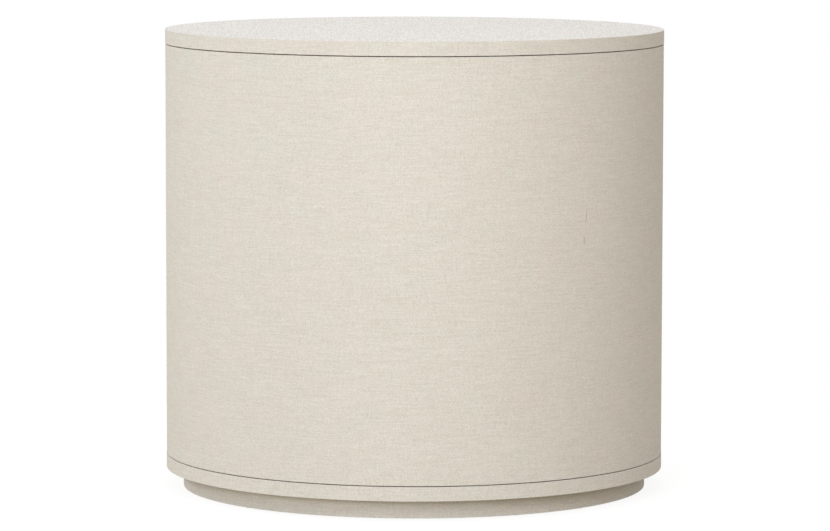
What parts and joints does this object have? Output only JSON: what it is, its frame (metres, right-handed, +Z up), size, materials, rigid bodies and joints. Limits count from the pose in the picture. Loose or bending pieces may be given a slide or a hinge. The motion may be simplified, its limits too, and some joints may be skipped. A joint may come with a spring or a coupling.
{
  "type": "round nightstand",
  "caption": "Round drum nightstand with a curved push-to-open door, an inner shelf and a recessed round plinth on low glides.",
  "frame": {"origin": "on the floor, on the drum's axis", "axes": "+Z up along the drum's axis, -Y towards the front, where the door is, +X to the right of someone facing the door"},
  "size_m": [0.6599, 0.66, 0.608],
  "materials": {
    "wrapped_board": "board wrapped in fine off-white linen under a matt lacquer",
    "lacquered_board": "off-white matt lacquer",
    "steel": "zinc plated",
    "hinge_brass": "satin brass",
    "plastic": "moulded, dark grey",
    "bumper_rubber": "soft, clear"
  },
  "bodies": {
    "root": {"top_panel": "wrapped_board", "base_panel": "wrapped_board", "plinth_ring": "wrapped_board", "glides": "plastic", "glide_nails": "steel", "rear_shell": "wrapped_board", "top_rib": "lacquered_board", "shelf_rib": "lacquered_board", "bottom_rib": "lacquered_board", "hinge_jamb": "lacquered_board", "strike_jamb": "lacquered_board", "shelf": "lacquered_board", "top_screws": "steel", "base_screws": "steel", "shelf_screws": "steel", "plinth_screws": "steel", "upper_case_leaf": "hinge_brass", "lower_case_leaf": "hinge_brass", "upper_pivot_pin": "hinge_brass", "lower_pivot_pin": "hinge_brass", "case_leaf_screws": "steel", "thrust_washer": "hinge_brass", "latch_housing": "plastic", "latch_spring": "steel", "latch_screws": "steel", "door_bumpers": "bumper_rubber"},
    "door": {"door_panel": "wrapped_board", "door_top_rib": "lacquered_board", "door_bottom_rib": "lacquered_board", "door_hinge_stile": "lacquered_board", "door_strike_stile": "lacquered_board", "upper_door_leaf": "hinge_brass", "lower_door_leaf": "hinge_brass", "door_leaf_screws": "steel", "strike_plate": "steel", "strike_screw": "steel"},
    "plunger": {"latch_plunger": "plastic", "latch_magnet": "steel"}
  },
  "joints": [
    {"name": "door_swing", "type": "hinge", "parent": "root", "child": "door", "pos_m": [-0.32157, -0.009, 0.317], "axis": [0, 0, -1], "range_deg": [0, 95]},
    {"name": "plunger_slide", "type": "slide", "parent": "root", "child": "plunger", "axis": [0, -1, 0], "range_m": [0, 0.0101], "deforming": ["latch_spring"]}
  ],
  "couplings": [
    {"joint": "plunger_slide", "follows": "door_swing", "m_per_rad": 0.006}
  ]
}
